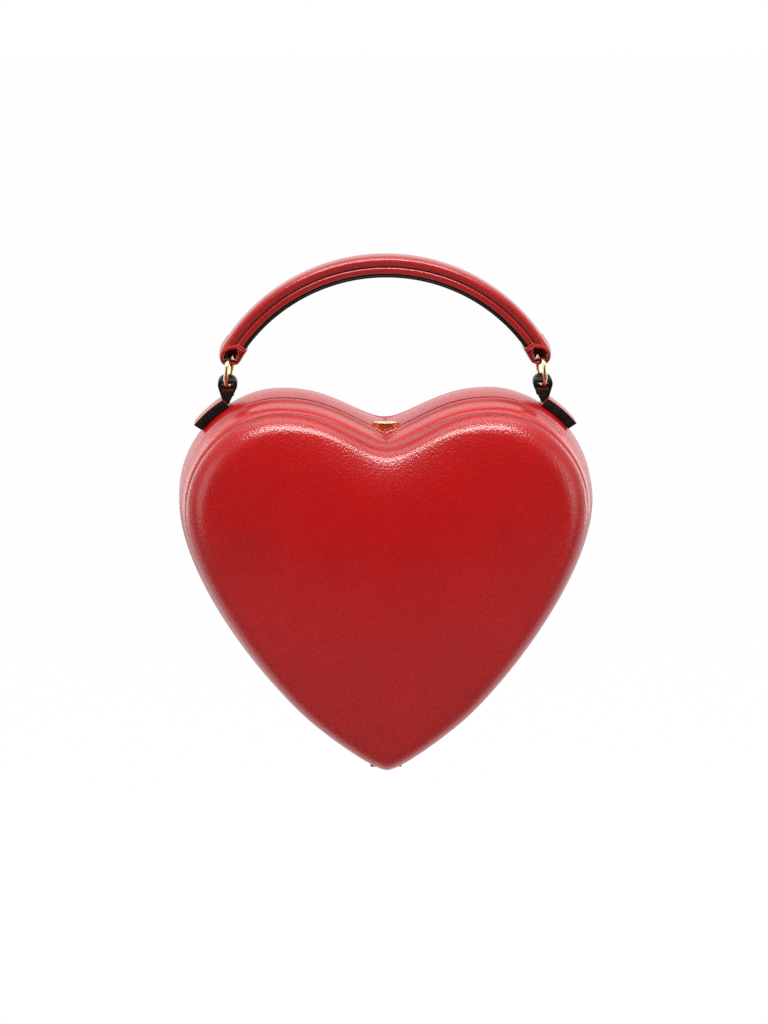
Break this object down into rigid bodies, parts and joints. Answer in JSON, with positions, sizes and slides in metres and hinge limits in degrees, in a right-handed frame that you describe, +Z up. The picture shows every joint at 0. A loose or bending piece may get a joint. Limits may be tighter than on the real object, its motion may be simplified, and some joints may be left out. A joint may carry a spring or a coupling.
{
  "type": "heart shaped purse",
  "caption": "Padded leather purse in the shape of a heart, hinged at its tip, with a push button clasp in its cleft and an arched top handle on rings.",
  "frame": {"origin": "middle of the handle's underside at the top of its arch, where the fingers hook", "axes": "+X across the heart to its right as seen from the front, -Y the front, +Z up from the tip of the heart to the handle"},
  "size_m": [0.1842, 0.0825, 0.2314],
  "materials": {
    "red_leather": "satin",
    "painted_edge": "satin",
    "brass": "polished",
    "steel": "satin",
    "foam": "matte",
    "board": "matte",
    "suede": "matte"
  },
  "bodies": {
    "handle": {"handle_core": "steel", "handle_padding": "foam", "handle_cover": "red_leather", "handle_band": "red_leather", "handle_base": "painted_edge", "handle_end_left": "red_leather", "handle_end_right": "red_leather"},
    "ring_left": {"ring_left": "brass"},
    "ring_right": {"ring_right": "brass"},
    "back_half": {"back_panel": "red_leather", "back_rim": "red_leather", "back_padding": "foam", "back_former": "board", "back_lining": "suede", "back_frame": "brass", "slip_pocket": "suede", "tab_left": "painted_edge", "tab_right": "painted_edge", "gusset_left": "red_leather", "gusset_right": "red_leather", "hinge_back_leaf": "brass", "hinge_pin": "steel", "hinge_back_rivets": "brass", "clasp_housing": "steel", "clasp_rivets": "brass", "clasp_catch": "steel", "clasp_spring": "steel"},
    "clasp": {"clasp_button": "brass"},
    "front_half": {"front_panel": "red_leather", "front_rim": "red_leather", "front_padding": "foam", "front_former": "board", "front_lining": "suede", "front_frame": "brass", "hinge_front_leaf": "brass", "hinge_front_rivets": "brass", "strike_plate": "brass", "strike_rivets": "brass"}
  },
  "joints": [
    {"name": "bag_swing", "type": "hinge", "parent": "handle", "child": "back_half", "pos_m": [0, 0, -0.0427], "axis": [1, 0, 0], "range_deg": [-80, 80]},
    {"name": "ring_left_swing", "type": "hinge", "parent": "handle", "child": "ring_left", "pos_m": [-0.0694, 0, -0.0427], "axis": [1, 0, 0], "range_deg": [-40, 40]},
    {"name": "ring_right_swing", "type": "hinge", "parent": "handle", "child": "ring_right", "pos_m": [0.0694, 0, -0.0427], "axis": [1, 0, 0], "range_deg": [-40, 40]},
    {"name": "lid_open", "type": "hinge", "parent": "back_half", "child": "front_half", "pos_m": [0, -0.015, -0.2197], "axis": [1, 0, 0], "range_deg": [0, 50], "deforming": ["gusset_left", "gusset_right", "clasp_catch"]},
    {"name": "clasp_press", "type": "slide", "parent": "back_half", "child": "clasp", "axis": [0, 0, 1], "range_m": [-0.0018, 0], "stiffness_N_per_m": 800, "springref_m": 0.0008, "deforming": ["clasp_spring", "clasp_catch"]}
  ],
  "couplings": [
    {"joint": "ring_left_swing", "follows": "bag_swing", "ratio": 0.5},
    {"joint": "ring_right_swing", "follows": "bag_swing", "ratio": 0.5}
  ]
}
